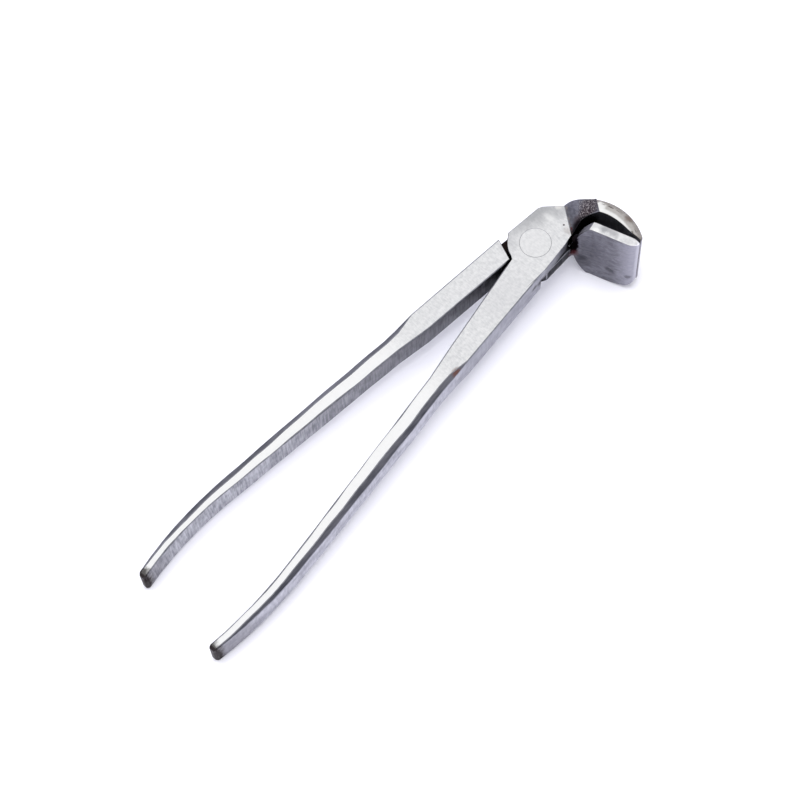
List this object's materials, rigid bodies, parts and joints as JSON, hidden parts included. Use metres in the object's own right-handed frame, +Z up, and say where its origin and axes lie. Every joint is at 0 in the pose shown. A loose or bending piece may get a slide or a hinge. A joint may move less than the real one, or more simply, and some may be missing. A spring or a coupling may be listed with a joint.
{
  "type": "leather gluing pliers",
  "caption": "Long-handled riveted pliers with a tall flat jaw and a curved claw jaw set across the handles, for pressing glued leather edges.",
  "frame": {"origin": "centre of the rivet, in the seam between the two lap plates", "axes": "+X runs forward from the handles to the jaws, +Z runs up the rivet towards the upper plate, and +Y is the side of the lower lever's handle, away from the lips"},
  "size_m": [0.2195, 0.0557, 0.0374],
  "materials": {
    "upper_lever": "forged steel with ground bright faces and darker sides",
    "lower_lever": "forged steel with ground bright faces and dark mottled sides",
    "rivet": "steel ground flush with the plates",
    "claw_jaw": "filed steel, heat-tinted and pitted at its seam",
    "flat_jaw": "dull grey steel, scuffed and smeared, with a bright top rim"
  },
  "bodies": {
    "upper_half": {"upper_lever": "upper_lever", "pivot_rivet": "rivet", "upper_jaw": "claw_jaw"},
    "lower_half": {"lower_lever": "lower_lever", "lower_jaw": "flat_jaw"}
  },
  "joints": [
    {"name": "pivot", "type": "hinge", "parent": "upper_half", "child": "lower_half", "pos_m": [0, 0, 0], "axis": [0, 0, -1], "range_deg": [-0.4, 76]}
  ]
}
